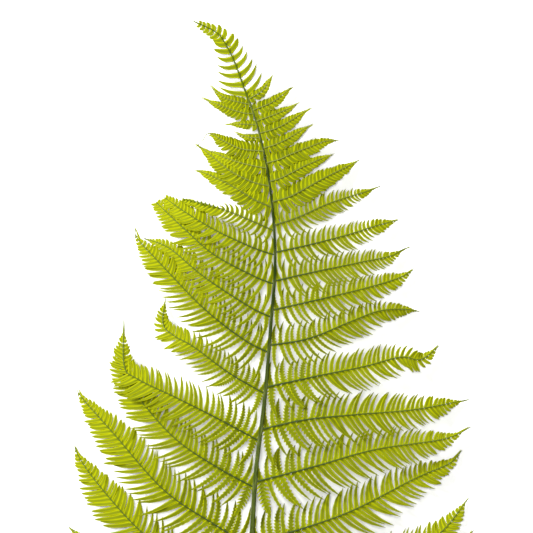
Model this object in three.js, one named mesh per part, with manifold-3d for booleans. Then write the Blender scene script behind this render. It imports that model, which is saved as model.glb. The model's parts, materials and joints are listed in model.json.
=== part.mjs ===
// A bracken frond as picked: one green stalk with pairs of pinnae, each pinna cut into leaflets.
// It lies face up on a level surface. Millimetres: X to the right, Y towards the frond's tip, Z up.
// The origin is on that surface, under the middle of the level stretch at the stalk's cut end.

import * as THREE from "three";
import { mergeVertices } from "three/addons/utils/BufferGeometryUtils.js";
import Module from "manifold-3d";

const wasm = await Module();
wasm.setup();

// The stalk's line on the surface, [x, y], from the cut end to the frond's tip.
const STALK_LINE = [
  [-1, -28], [0, 0], [1, 28], [3, 110], [6, 220], [12, 317], [16, 380], [25, 455], [31, 528], [35, 582],
  [33, 636], [26, 688], [16, 729], [3.5, 764], [-7.5, 793], [-20, 815], [-32, 823], [-47, 830],
];
const STALK_SIDES = 8;
const STALK_RADIUS = 3.7; // at the cut end
const TIP_RADIUS = 0.6; // of the rib in the frond's tip
const LEVEL_END = 28; // the stalk lies level from the cut end to this y
const FROND_TIP = 830; // y of the tip
const ARCH = 32; // how far the middle of the frond stands off the surface
const ARCH_SPAN = 870; // y length of that arch, a little past the tip, so the tip stays clear
const STALK_SECTIONS = [
  -28, 28, 60, 95, 135, 180, 225, 270, 315, 360, 405, 450, 495, 540, 580, 620, 655, 690, 720, 748, 770,
]; // y of each

// The pinnae, each by the y where it leaves the stalk, the points [x, y] that its rib passes and the height of
// its tip. tail is the length of rib at the tip that no leaflets stand on, where it isn't the usual one, and limp
// is how far, in degrees, the leaflets hang down at the tip of one that has begun to fold.
const LEFT_PINNAE = [
  { leaves: 170, through: [[-41, 205], [-96, 252], [-141, 292], [-173, 323]], tip: 2 },
  { leaves: 242, through: [[-36, 268], [-97, 317], [-136, 358], [-160, 389], [-167, 404]], tip: 2 },
  { leaves: 305, through: [[-26, 327], [-76, 361], [-126, 416], [-159, 452], [-164, 461]], tip: 3 },
  { leaves: 363.5, through: [[-21, 383], [-63, 411], [-100, 451], [-121, 484], [-121.5, 508]], tip: 2, tail: 8 },
  { leaves: 410, through: [[-21, 432], [-63, 453], [-103, 472], [-115.5, 485], [-116.5, 532]], tip: 10, tail: 14 },
  { leaves: 457, through: [[-11, 478], [-46, 503.5], [-65, 514], [-77, 526], [-75, 551.5]], tip: 4 },
  { leaves: 498, through: [[4, 511], [-36, 542], [-79, 586], [-103, 612], [-105, 623]], tip: 9, tail: 8 },
  { leaves: 533, through: [[9, 544], [-36, 573.5], [-71, 602], [-98, 612.5]], tip: 2, tail: 6 },
  { leaves: 566, through: [[14, 574], [-26, 595.5], [-56, 621.5], [-86, 649.5]], tip: 2 },
  { leaves: 595, through: [[14, 602], [-21, 618], [-52.5, 636.5], [-77, 653.5]], tip: 11 },
  { leaves: 619, through: [[14, 628], [-14, 639.5], [-36, 646.5], [-59, 651.5]], tip: 20, limp: 40 },
  { leaves: 642.5, through: [[14, 650.5], [-8, 664], [-30, 675], [-46.5, 681.5]], tip: 6 },
  { leaves: 664, through: [[14, 667.5], [-8, 678], [-26, 692], [-45, 708]], tip: 4, tail: 7 },
  { leaves: 682, through: [[14, 684], [-8, 690], [-34, 701]], tip: 9 },
  { leaves: 699, through: [[2, 701], [-14, 708], [-31, 717], [-38, 709], [-47.5, 701]], tip: 8, tail: 24, limp: 35 },
  { leaves: 713, through: [[14, 712.5], [3, 714], [-7, 717.5]], tip: 16 },
  { leaves: 725.5, through: [[4, 726], [-16, 726.5]], tip: 14 },
  { leaves: 737, through: [[5, 737], [-11, 741.5], [-25, 747], [-41, 753]], tip: 8, tail: 8 },
  { leaves: 746, through: [[0, 748], [-14, 752], [-25, 759.5], [-32, 766]], tip: 9, tail: 7 },
];
const RIGHT_PINNAE = [
  { leaves: 178, through: [[64, 193], [124, 216], [189, 260], [235, 319]], tip: 2 },
  { leaves: 244, through: [[64, 258], [124, 282], [180, 305], [204, 319.5], [230, 351]], tip: 2, tail: 6 },
  { leaves: 308, through: [[64, 323], [114, 341], [174, 371], [210, 386], [223, 399]], tip: 3, tail: 6 },
  { leaves: 369, through: [[74, 384.5], [134, 401], [204, 411], [232.5, 423]], tip: 9, tail: 12 },
  { leaves: 421.5, through: [[64, 431], [114, 436], [174, 440.5], [231, 450]], tip: 2, tail: 9 },
  { leaves: 463.5, through: [[74, 474], [124, 484], [160, 493], [181, 490.5], [200.5, 504.5]], tip: 8 },
  { leaves: 505, through: [[69, 512], [109, 528], [139, 539], [166, 540.5], [180.5, 538]], tip: 3, limp: 20 },
  { leaves: 540, through: [[76, 550], [124, 561.5], [159, 572], [175, 580.5]], tip: 5 },
  { leaves: 569, through: [[74, 578], [120, 587.5], [151, 594], [164, 601], [172.5, 602.5]], tip: 2, tail: 12 },
  { leaves: 597.5, through: [[69, 605], [109, 615.5], [139, 625], [160.5, 630.5]], tip: 6 },
  { leaves: 624.5, through: [[59, 633], [89, 646.5], [129, 659.5], [142, 665]], tip: 3, tail: 10 },
  { leaves: 648, through: [[45, 651.5], [57.5, 657], [82.5, 671], [120.5, 690.5]], tip: 4 },
  { leaves: 668.5, through: [[40, 671.5], [51, 677], [70, 686.5], [95, 697]], tip: 9 },
  { leaves: 687, through: [[39, 690.5], [50, 695.5], [69, 703], [85, 709], [100, 710]], tip: 4 },
  { leaves: 702, through: [[32.5, 704.5], [45, 710], [57.5, 717.5], [74.5, 727.5]], tip: 8, tail: 6 },
  { leaves: 717, through: [[32.5, 720.5], [42.5, 725], [56, 733], [72, 744]], tip: 5, tail: 6 },
  { leaves: 729, through: [[34, 735.5], [49, 742], [60, 748]], tip: 8 },
  { leaves: 740, through: [[30, 747], [43, 756], [54, 766]], tip: 7 },
  { leaves: 751, through: [[22.5, 760], [27.5, 767.5], [34.5, 778]], tip: 9 },
];
// The frond's tip, where simple leaflets stand on the stalk itself.
const TIP_BEGINS = 741; // y where the blade that they are cut from begins, inside the stalk
const TIP_SECTIONS = 7; // points on its rib's curve
const TIP_PAIRS = 14;
const TIP_BARE = 0.1; // share of its rib before the first pair
const TIP_END = 0.95; // share where the last pair ends
const TIP_REACH = 25; // how much longer the longest leaflets are than the last
const TIP_LAST_REACH = 3; // length of the last
const TIP_TAPER_POWER = 1.1; // how early they shorten
const TIP_LEAN = 58; // degrees between them and the rib
const TIP_RIB_WIDTH = 1.8;
const TIP_RIB_CREST = 0.7;

// Leaflets, as cut from a pinna's blade.
const BLADE = 0.7; // thickness
const RIB_CREST = 0.9; // the rib's crest above the blade at the stalk
const RIB_WIDTH = 2.2; // of the rib at the stalk
const RIB_END = 0.45; // share of those two left at the pinna's tip
const RISE = 0.1; // upward slope of a pinna where it leaves the stalk
const ROLL = 11; // degrees that a pinna's side away from the frond's tip is raised, so that they lie like tiles
const DROOP = 7; // degrees that both rows of leaflets hang below the rib
const LEAN_UPPER = 59; // degrees between the rib and the leaflets on the frond tip's side
const LEAN_LOWER = 52; // the same on the other side
const FAN = 27; // how much more the leaflets nearest the stalk lean away from the rib
const FAN_SHARE = 0.13; // share of the rib's length in which most of that is lost
const REACH_BASE = 1; // length of the longest leaflets on a very short pinna
const REACH_SHARE = 0.153; // what each millimetre of a pinna's length adds to it
const UPPER_SHARE = 0.86; // how long the leaflets on the frond tip's side are against that
const LOWER_SHARE = 1.08; // the same on the other side
const LEAST_TAPER = 1.2; // power at which a very short pinna narrows to its tip
const FULL_TAPER = 3; // the same for a long one, which narrows late
const FULL_TAPER_LENGTH = 150; // length from which a pinna is a long one
const PITCH_BASE = 6.1; // spacing of leaflets on a very short pinna
const PITCH_SHARE = 0.036; // what each millimetre of a pinna's length adds to it
const CROWDING = 0.3; // how much closer leaflets stand at the tip than on average
const BARE_LENGTH = 1; // of a rib between the stalk's skin and the first leaflet
const BARE_SHARE = 0.016; // what each millimetre of a pinna's length adds to it
const TAIL = 4; // usual length of rib that no leaflets stand on at a pinna's tip
const FULL_RIB_LENGTH = 200; // length from which a pinna has the full width of rib
const LEAST_RIB = 0.35; // share of that width on a very short pinna

const radians = THREE.MathUtils.degToRad;
const UP = new THREE.Vector3(0, 0, 1);

// The mesh of one closed body, built vertex by vertex and face by face.
class Skin {
  points = [];
  faces = [];
  add(point) {
    this.points.push(point.x, point.y, point.z);
    return this.points.length / 3 - 1;
  }
  quad(a, b, c, d) {
    this.faces.push(a, b, c, a, c, d);
  }
  triangle(a, b, c) {
    this.faces.push(a, b, c);
  }
  geometry() {
    const made = new THREE.BufferGeometry();
    made.setAttribute("position", new THREE.Float32BufferAttribute(this.points, 3));
    made.setIndex(this.faces);
    return made;
  }
}

function solidOf(geometry) {
  const merged = mergeVertices(geometry);
  return new wasm.Manifold(new wasm.Mesh({
    numProp: 3,
    vertProperties: merged.attributes.position.array,
    triVerts: new Uint32Array(merged.index.array),
  }));
}

function geometryOf(solid) {
  const { vertProperties, triVerts } = solid.getMesh();
  const made = new THREE.BufferGeometry();
  made.setAttribute("position", new THREE.BufferAttribute(vertProperties, 3));
  made.setIndex(new THREE.BufferAttribute(triVerts, 1));
  return made;
}

function smoothCurve(points) {
  return new THREE.CatmullRomCurve3(points, false, "catmullrom", 0.5);
}

const restHeight = STALK_RADIUS * Math.cos(Math.PI / STALK_SIDES);

function stalkHeight(y) {
  const along = Math.max(0, y - LEVEL_END) / ARCH_SPAN;
  return restHeight + ARCH * Math.sin(Math.PI * along) ** 2;
}

function stalkRadius(y) {
  const along = Math.max(0, y - LEVEL_END) / (FROND_TIP - LEVEL_END);
  return THREE.MathUtils.lerp(STALK_RADIUS, TIP_RADIUS, along);
}

const stalkCurve = smoothCurve(STALK_LINE.map(([x, y]) => new THREE.Vector3(x, y, 0)));

// The stalk's centre at a given y, found by halving, because y grows all the way to the tip.
function stalkPoint(y) {
  const halvings = 40;
  let low = 0;
  let high = 1;
  for (let step = 0; step < halvings; step += 1) {
    const middle = (low + high) / 2;
    if (stalkCurve.getPoint(middle).y < y) low = middle;
    else high = middle;
  }
  const point = stalkCurve.getPoint(low);
  return new THREE.Vector3(point.x, y, stalkHeight(y));
}

// The stalk, as rings of points across its line, one flat side down.
function stalkGeometry() {
  const skin = new Skin();
  const nearby = 0.5;
  const rings = STALK_SECTIONS.map((y) => {
    const along = stalkPoint(y + nearby).sub(stalkPoint(y)).normalize();
    if (y <= LEVEL_END) along.setZ(0).normalize();
    const across = new THREE.Vector3().crossVectors(along, UP).normalize();
    const above = new THREE.Vector3().crossVectors(across, along);
    return Array.from({ length: STALK_SIDES }, (_, side) => {
      const turn = ((side + 0.5) / STALK_SIDES) * 2 * Math.PI;
      const point = stalkPoint(y)
        .addScaledVector(across, stalkRadius(y) * Math.sin(turn))
        .addScaledVector(above, stalkRadius(y) * Math.cos(turn));
      return skin.add(point);
    });
  });
  for (let i = 0; i + 1 < rings.length; i += 1) {
    for (let side = 0; side < STALK_SIDES; side += 1) {
      const next = (side + 1) % STALK_SIDES;
      skin.quad(rings[i][side], rings[i][next], rings[i + 1][next], rings[i + 1][side]);
    }
  }
  const last = rings.at(-1);
  for (let side = 1; side + 1 < STALK_SIDES; side += 1) {
    skin.triangle(rings[0][0], rings[0][side + 1], rings[0][side]);
    skin.triangle(last[0], last[side], last[side + 1]);
  }
  return skin.geometry();
}

// Where a rib is at a share of its length, with the directions along it, across to its left and out of its face.
function ribFrame(curve, share, roll) {
  const along = curve.getTangentAt(share);
  const left = new THREE.Vector3().crossVectors(UP, along).normalize();
  left.applyAxisAngle(along, roll);
  const out = new THREE.Vector3().crossVectors(along, left);
  return { at: curve.getPointAt(share), along, left, out };
}

// A point no lower than the given height, so that what would pass through the surface lies on it.
function onSurface(point, lowest) {
  return point.setZ(Math.max(point.z, lowest));
}

// A rib with a row of leaflets on each side. cells are the shares of its length between which leaflets stand,
// reach(share) is a leaflet's length, and upper and lower hold what differs between the frond tip's side and
// the other: share of that length, lean and fan. upperSide is 1 where the first of them is on the rib's left, else -1.
function combGeometry({ curve, cells, reach, roll, limp, upper, lower, upperSide, ribWidth, ribCrest }) {
  const skin = new Skin();
  const half = BLADE / 2;
  const bothFaces = (point, out) => ({
    top: skin.add(onSurface(point.clone().addScaledVector(out, half), BLADE)),
    bottom: skin.add(onSurface(point.clone().addScaledVector(out, -half), 0)),
  });
  const stations = [0, ...cells].map((share) => {
    const { at, left, out } = ribFrame(curve, share, -roll * upperSide);
    const scale = THREE.MathUtils.lerp(1, RIB_END, share);
    const edge = left.clone().multiplyScalar((ribWidth * scale) / 2);
    const crest = at.clone().addScaledVector(out, half + ribCrest * scale);
    return {
      left: bothFaces(at.clone().add(edge), out),
      right: bothFaces(at.clone().sub(edge), out),
      crest: skin.add(onSurface(crest, BLADE + ribCrest * scale)),
    };
  });
  const first = stations[0];
  const last = stations.at(-1);

  stations.slice(0, -1).forEach((from, i) => {
    const to = stations[i + 1];
    skin.quad(from.crest, to.crest, to.left.top, from.left.top);
    skin.quad(from.right.top, to.right.top, to.crest, from.crest);
    skin.quad(from.left.bottom, to.left.bottom, to.right.bottom, from.right.bottom);
    if (i === 0) {
      skin.quad(from.left.top, to.left.top, to.left.bottom, from.left.bottom);
      skin.quad(from.right.bottom, to.right.bottom, to.right.top, from.right.top);
      return;
    }
    const share = (cells[i - 1] + cells[i]) / 2;
    const { at, along, left, out } = ribFrame(curve, share, -roll * upperSide);
    for (const side of [1, -1]) {
      const row = side === upperSide ? upper : lower;
      const length = reach(share) * row.share;
      const lean = radians(row.lean + row.fan * Math.exp(-share / FAN_SHARE));
      const hang = radians(DROOP + limp * share ** 2);
      const outward = left.clone().multiplyScalar(side * Math.cos(hang)).addScaledVector(out, -Math.sin(hang));
      const tip = at
        .clone()
        .addScaledVector(along, length * Math.cos(lean))
        .addScaledVector(outward, length * Math.sin(lean));
      const end = bothFaces(tip, out);
      const [near, far] = side === 1 ? [from.left, to.left] : [to.right, from.right];
      skin.triangle(near.top, far.top, end.top);
      skin.triangle(far.bottom, near.bottom, end.bottom);
      skin.quad(near.top, end.top, end.bottom, near.bottom);
      skin.quad(end.top, far.top, far.bottom, end.bottom);
    }
  });

  skin.quad(first.left.top, first.left.bottom, first.right.bottom, first.right.top);
  skin.triangle(first.left.top, first.right.top, first.crest);
  const point = skin.add(onSurface(curve.getPointAt(1), half));
  skin.triangle(last.crest, point, last.left.top);
  skin.triangle(last.left.top, point, last.left.bottom);
  skin.triangle(last.left.bottom, point, last.right.bottom);
  skin.triangle(last.right.bottom, point, last.right.top);
  skin.triangle(last.right.top, point, last.crest);
  return skin.geometry();
}

// Shares of a rib's length between which leaflets stand, closer together towards its tip.
function cellShares(count, start, end) {
  return Array.from({ length: count + 1 }, (_, k) => {
    const even = k / count;
    return start + (end - start) * ((1 + CROWDING) * even - CROWDING * even ** 2);
  });
}

function pinnaCurve({ leaves, through, tip }) {
  const start = stalkPoint(leaves);
  const flat = [[start.x, start.y], ...through];
  const reached = [0];
  flat.slice(1).forEach(([x, y], i) => reached.push(reached[i] + Math.hypot(x - flat[i][0], y - flat[i][1])));
  const length = reached.at(-1);
  const points = flat.map(([x, y], i) => {
    const share = reached[i] / length;
    const lift = RISE * length;
    return new THREE.Vector3(x, y, start.z + lift * share - (start.z + lift - tip) * share ** 2);
  });
  return smoothCurve(points);
}

function pinnaGeometry(pinna, upperSide) {
  const curve = pinnaCurve(pinna);
  const length = curve.getLength();
  const count = Math.round(length / (PITCH_BASE + PITCH_SHARE * length));
  const bare = BARE_SHARE + (stalkRadius(pinna.leaves) + BARE_LENGTH) / length;
  const end = 1 - (pinna.tail ?? TAIL) / length;
  const scale = THREE.MathUtils.lerp(LEAST_RIB, 1, Math.min(1, length / FULL_RIB_LENGTH));
  const taper = THREE.MathUtils.lerp(LEAST_TAPER, FULL_TAPER, Math.min(1, length / FULL_TAPER_LENGTH));
  return combGeometry({
    curve,
    cells: cellShares(count, bare, end),
    reach: (share) => (REACH_BASE + REACH_SHARE * length) * (1 - (share / end) ** taper),
    roll: radians(ROLL),
    limp: pinna.limp ?? 0,
    upper: { share: UPPER_SHARE, lean: LEAN_UPPER, fan: FAN },
    lower: { share: LOWER_SHARE, lean: LEAN_LOWER, fan: FAN },
    upperSide,
    ribWidth: RIB_WIDTH * scale,
    ribCrest: RIB_CREST * scale,
  });
}

function tipGeometry() {
  const points = Array.from({ length: TIP_SECTIONS }, (_, k) =>
    stalkPoint(THREE.MathUtils.lerp(TIP_BEGINS, FROND_TIP, k / (TIP_SECTIONS - 1))));
  return combGeometry({
    curve: smoothCurve(points),
    cells: cellShares(TIP_PAIRS, TIP_BARE, TIP_END),
    reach: (share) => TIP_LAST_REACH + TIP_REACH * (1 - share) ** TIP_TAPER_POWER,
    roll: 0,
    limp: 0,
    upper: { share: 1, lean: TIP_LEAN, fan: 0 },
    lower: { share: 1, lean: TIP_LEAN, fan: 0 },
    upperSide: 1,
    ribWidth: TIP_RIB_WIDTH,
    ribCrest: TIP_RIB_CREST,
  });
}

const pieces = [
  stalkGeometry(),
  tipGeometry(),
  ...LEFT_PINNAE.map((pinna) => pinnaGeometry(pinna, -1)),
  ...RIGHT_PINNAE.map((pinna) => pinnaGeometry(pinna, 1)),
];

const frond = new THREE.Mesh(
  geometryOf(wasm.Manifold.union(pieces.map(solidOf))),
  new THREE.MeshStandardMaterial({ color: 0xa3ae0c, roughness: 0.6, metalness: 0 }),
);
frond.name = "frond";

const brackenFrond = new THREE.Group();
brackenFrond.add(frond);

export default brackenFrond;
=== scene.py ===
"""A picked bracken frond, lying face up on a pale surface and seen from straight above.

The frond grew as one piece, and three kinds of finer piece stand for it here: its stalk, the ribs of its
pinnae and the leaflets on them. They follow the same lines as the solid does. Tables and sizes are in
millimetres, with X to the right, Y towards the frond's tip and Z up. Meshes are in metres.
"""

import json
import logging
import math
from collections.abc import Callable
from dataclasses import dataclass, field
from enum import IntEnum
from functools import partial

import bpy
import numpy as np
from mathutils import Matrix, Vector

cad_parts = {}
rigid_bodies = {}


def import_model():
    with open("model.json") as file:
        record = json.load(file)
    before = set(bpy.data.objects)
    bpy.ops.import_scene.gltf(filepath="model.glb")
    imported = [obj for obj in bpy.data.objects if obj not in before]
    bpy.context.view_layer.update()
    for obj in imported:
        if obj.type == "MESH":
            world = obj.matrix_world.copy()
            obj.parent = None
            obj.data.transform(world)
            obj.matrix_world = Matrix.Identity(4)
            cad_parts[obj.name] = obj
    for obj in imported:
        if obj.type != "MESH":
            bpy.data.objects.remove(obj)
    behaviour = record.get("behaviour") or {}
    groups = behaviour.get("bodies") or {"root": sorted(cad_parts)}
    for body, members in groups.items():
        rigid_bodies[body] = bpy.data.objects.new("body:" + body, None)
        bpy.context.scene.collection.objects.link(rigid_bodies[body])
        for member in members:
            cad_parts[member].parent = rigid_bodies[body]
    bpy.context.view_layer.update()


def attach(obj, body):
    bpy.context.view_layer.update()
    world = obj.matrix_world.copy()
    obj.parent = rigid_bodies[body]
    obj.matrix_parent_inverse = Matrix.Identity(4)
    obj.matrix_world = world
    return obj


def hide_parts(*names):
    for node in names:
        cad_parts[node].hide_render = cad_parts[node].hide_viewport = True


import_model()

log = logging.getLogger("bracken_frond")

Plan = tuple[float, float]
Range = tuple[float, float]
Colour = tuple[float, float, float, float]
Adder = Callable[..., bpy.types.Node]

MM = 0.001
UP = np.array([0.0, 0.0, 1.0])
LEVEL = np.array([1.0, 1.0, 0.0])
CAD_NODE = "frond"


class Side(IntEnum):
    """The side of the stalk that a pinna grows on.

    As a number, it is the side of the pinna's rib that the frond's tip is on: 1 for left, -1 for right.
    """

    LEFT = -1
    RIGHT = 1


class Form(IntEnum):
    """The forms that a leaflet has, in the order of their shapes."""

    SLENDER = 0
    BLUNT = 1
    WAVY = 2
    TOOTHED = 3
    LOBED = 4
    STRAIGHT = 5

    def shape(self, hand: int) -> int:
        """The number of this form's shape for a leaflet of a hand, 1 or -1."""
        return 2 * self + (hand > 0)


@dataclass(frozen=True)
class Course:
    """Where one pinna runs.

    leaves is the y at which it leaves the stalk, through holds the points that its rib passes, and tip is
    the height of its tip. tail is the length of rib there that no leaflets stand on, or below nothing how far
    past the tip they would taper out. limp is how far its leaflets hang at the tip, and fold is how far those
    on the frond tip's side are folded down there besides, both in degrees.
    """

    leaves: float
    through: tuple[Plan, ...]
    tip: float
    tail: float = 4
    limp: float = 0
    fold: float = 0


LEFT_PINNAE = (
    Course(170, ((-41, 205), (-96, 252), (-141, 292), (-173, 323)), 2),
    Course(242, ((-36, 268), (-97, 317), (-136, 358), (-160, 389), (-167, 404)), 2),
    Course(305, ((-26, 327), (-76, 361), (-126, 416), (-159, 452), (-164, 461)), 3),
    Course(363.5, ((-21, 383), (-63, 411), (-100, 451), (-121, 484), (-121.5, 508)), 2, tail=8),
    Course(410, ((-21, 432), (-63, 453), (-103, 472), (-115.5, 485), (-116.5, 532)), 10, tail=14),
    Course(457, ((-11, 478), (-46, 503.5), (-65, 514), (-77, 526), (-75, 551.5)), 4),
    Course(498, ((4, 511), (-36, 542), (-79, 586), (-103, 612), (-105, 623)), 9, tail=8),
    Course(533, ((9, 544), (-36, 573.5), (-71, 602), (-98, 612.5)), 2, tail=6),
    Course(566, ((14, 574), (-26, 595.5), (-56, 621.5), (-86, 649.5)), 2, tail=-12),
    Course(595, ((14, 602), (-21, 618), (-52.5, 636.5), (-77, 653.5)), 11, tail=-10),
    Course(619, ((14, 628), (-14, 639.5), (-36, 646.5), (-59, 651.5)), 20, tail=-6, fold=150),
    Course(642.5, ((14, 650.5), (-8, 664), (-30, 675), (-46.5, 681.5)), 6),
    Course(664, ((14, 667.5), (-8, 678), (-26, 692), (-45, 708)), 4, tail=7),
    Course(682, ((14, 684), (-8, 690), (-34, 701)), 9),
    Course(699, ((2, 701), (-14, 708), (-31, 717), (-38, 709), (-47.5, 701)), 8, tail=24, limp=35),
    Course(713, ((14, 712.5), (3, 714), (-7, 717.5)), 16),
    Course(725.5, ((4, 726), (-16, 726.5)), 14),
    Course(737, ((5, 737), (-11, 741.5), (-25, 747), (-41, 753)), 8, tail=8),
    Course(746, ((0, 748), (-14, 752), (-25, 759.5), (-32, 766)), 9, tail=7),
)
RIGHT_PINNAE = (
    Course(178, ((64, 193), (124, 216), (189, 260), (235, 319)), 2),
    Course(244, ((64, 258), (124, 282), (180, 305), (204, 319.5), (230, 351)), 2, tail=6),
    Course(308, ((64, 323), (114, 341), (174, 371), (210, 386), (223, 399)), 3, tail=6),
    Course(369, ((74, 384.5), (134, 401), (204, 411), (232.5, 423)), 9, tail=12),
    Course(421.5, ((64, 431), (114, 436), (174, 440.5), (231, 450)), 2, tail=9),
    Course(463.5, ((74, 474), (124, 484), (160, 493), (181, 490.5), (200.5, 504.5)), 8),
    Course(505, ((69, 512), (109, 528), (139, 539), (166, 540.5), (180.5, 538)), 3, limp=20),
    Course(540, ((76, 550), (124, 561.5), (159, 572), (175, 580.5)), 5),
    Course(569, ((74, 578), (120, 587.5), (151, 594), (164, 601), (172.5, 602.5)), 2, tail=12),
    Course(597.5, ((69, 605), (109, 615.5), (139, 625), (160.5, 630.5)), 6),
    Course(624.5, ((59, 633), (89, 646.5), (129, 659.5), (142, 665)), 3, tail=10),
    Course(648, ((45, 651.5), (57.5, 657), (82.5, 671), (120.5, 690.5)), 4),
    Course(668.5, ((40, 671.5), (51, 677), (70, 686.5), (95, 697)), 9),
    Course(687, ((39, 690.5), (50, 695.5), (69, 703), (85, 709), (100, 710)), 4),
    Course(702, ((32.5, 704.5), (45, 710), (57.5, 717.5), (74.5, 727.5)), 8, tail=6),
    Course(717, ((32.5, 720.5), (42.5, 725), (56, 733), (72, 744)), 5, tail=6),
    Course(729, ((34, 735.5), (49, 742), (60, 748)), 8),
    Course(740, ((30, 747), (43, 756), (54, 766)), 7),
    Course(751, ((22.5, 760), (27.5, 767.5), (34.5, 778)), 9),
)


def linear_colour(code: str) -> Colour:
    """Turns a colour into the linear values that Blender works in, by the sRGB standard's formula.

    Args:
        code: sRGB colour as "#rrggbb".

    Returns:
        Red, green, blue and a full alpha.
    """
    shares = [int(code[i:i + 2], 16) / 255 for i in (1, 3, 5)]
    red, green, blue = (s / 12.92 if s <= 0.04045 else ((s + 0.055) / 1.055) ** 2.4 for s in shares)
    return red, green, blue, 1.0


def unit(vector: np.ndarray) -> np.ndarray:
    """The vector at a length of one."""
    return vector / np.linalg.norm(vector)


def turned(vector: np.ndarray, axis: np.ndarray, angle: float) -> np.ndarray:
    """The vector turned about a unit axis by an angle in radians, counter-clockwise."""
    along = axis * np.dot(axis, vector)
    return along + (vector - along) * math.cos(angle) + np.cross(axis, vector) * math.sin(angle)


def crowded(start: float, end: float, count: int, crowding: float) -> np.ndarray:
    """Shares of a rib's length that bound the cells of its leaflets, closer together towards its end."""
    even = np.linspace(0, 1, count + 1)
    return start + (end - start) * ((1 + crowding) * even - crowding * even ** 2)


def feed(node: bpy.types.Node, inputs: dict | tuple) -> None:
    """Sets or links a node's inputs.

    Args:
        node: the node.
        inputs: for an input's name, or its number among those in use, its value, or the output that it is
            linked to, or the node whose first output in use that is. A tuple has them in the inputs' order.
    """
    used = [socket for socket in node.inputs if socket.enabled]
    for key, value in (inputs if isinstance(inputs, dict) else dict(enumerate(inputs))).items():
        socket = used[key] if isinstance(key, int) else node.inputs[key]
        if isinstance(value, bpy.types.Node):
            value = next(output for output in value.outputs if output.enabled)
        if isinstance(value, bpy.types.NodeSocket):
            node.id_data.links.new(value, socket)
        else:
            socket.default_value = value


def add_node(tree: bpy.types.NodeTree, kind: str, inputs: dict | tuple = (),
             **settings: str) -> bpy.types.Node:
    """Adds a node to a tree, with its settings, values and links.

    Args:
        tree: node tree of a material or of geometry nodes.
        kind: Blender's name for the node's type.
        inputs: what its inputs are fed with.
        settings: the node's own properties by name.

    Returns:
        The new node.
    """
    node = tree.nodes.new(kind)
    for name, value in settings.items():
        setattr(node, name, value)
    feed(node, inputs)
    return node


def new_tree(name: str, inputs: dict[str, str]) -> tuple[bpy.types.NodeTree, Adder, bpy.types.NodeOutputs]:
    """Starts geometry nodes that turn one geometry into another.

    Args:
        name: their name.
        inputs: for the name of each input besides the geometry, its kind.

    Returns:
        The tree, what adds a node to it, and the outputs that give its inputs.
    """
    tree = bpy.data.node_groups.new(name, "GeometryNodeTree")
    for label, kind in {"Geometry": "Geometry", **inputs}.items():
        tree.interface.new_socket(label, in_out="INPUT", socket_type=f"NodeSocket{kind}")
    tree.interface.new_socket("Geometry", in_out="OUTPUT", socket_type="NodeSocketGeometry")
    return tree, partial(add_node, tree), add_node(tree, "NodeGroupInput").outputs


def grown(host: bpy.types.Mesh, tree: bpy.types.NodeTree, sizes: dict) -> bpy.types.Mesh:
    """Runs geometry nodes on a mesh and keeps what they make.

    Args:
        host: the mesh that they start from.
        tree: the geometry nodes.
        sizes: the value of each of their named inputs.

    Returns:
        The plain mesh that comes out, with no modifier left.
    """
    carrier = placed(host)
    modifier = carrier.modifiers.new(tree.name, "NODES")
    modifier.node_group = tree
    sockets = {item.name: item.identifier for item in tree.interface.items_tree
               if item.item_type == "SOCKET" and item.in_out == "INPUT"}
    for name, value in sizes.items():
        modifier[sockets[name]] = value
    carrier.update_tag()
    seen = carrier.evaluated_get(bpy.context.evaluated_depsgraph_get())
    made = bpy.data.meshes.new_from_object(seen)
    carrier.modifiers.remove(modifier)
    bpy.data.objects.remove(carrier)
    return made


def placed(mesh: bpy.types.Mesh) -> bpy.types.Object:
    """Puts a mesh in the scene as an object of its name, at the origin."""
    made = bpy.data.objects.new(mesh.name, mesh)
    bpy.context.scene.collection.objects.link(made)
    return made


def mark(mesh: bpy.types.Mesh, marks: dict[str, list], kind: str = "FLOAT", domain: str = "POINT") -> None:
    """Gives each point or face of a mesh values of its own.

    Args:
        mesh: the mesh.
        marks: the values by their attribute's name.
        kind: what they are, as Blender names it.
        domain: what they belong to, as Blender names it.
    """
    for name, values in marks.items():
        layer = mesh.attributes.new(name, kind, domain)
        layer.data.foreach_set("vector" if kind == "FLOAT_VECTOR" else "value", np.ravel(values))


class Spline:
    """A smooth curve through points, read by the share of its length that lies behind."""

    STEPS = 24
    NEAR = 0.5

    def __init__(self, points: np.ndarray) -> None:
        """Fits the curve.

        Args:
            points: one row of x, y and z for each point that it passes.
        """
        padded = np.vstack([2 * points[0] - points[1], points, 2 * points[-1] - points[-2]])
        steps = np.linspace(0, 1, self.STEPS, endpoint=False)[:, None]
        square, cube = steps ** 2, steps ** 3
        runs = []
        for before, start, end, after in zip(padded, padded[1:], padded[2:], padded[3:]):
            leave, arrive = (end - before) / 2, (after - start) / 2
            runs.append((2 * cube - 3 * square + 1) * start + (cube - 2 * square + steps) * leave
                        + (3 * square - 2 * cube) * end + (cube - square) * arrive)
        self.points = np.vstack([*runs, points[-1:]])
        gaps = np.linalg.norm(np.diff(self.points, axis=0), axis=1)
        reached = np.concatenate([[0], np.cumsum(gaps)])
        self.length = float(reached[-1])
        self.shares = reached / self.length

    def at(self, share: float) -> np.ndarray:
        """The point where that share of the length lies behind."""
        return np.array([np.interp(share, self.shares, self.points[:, axis]) for axis in range(3)])

    def along(self, share: float) -> np.ndarray:
        """The curve's direction there, taken between points that are NEAR millimetres behind and ahead."""
        near = self.NEAR / self.length
        return unit(self.at(min(share + near, 1)) - self.at(max(share - near, 0)))


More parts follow.
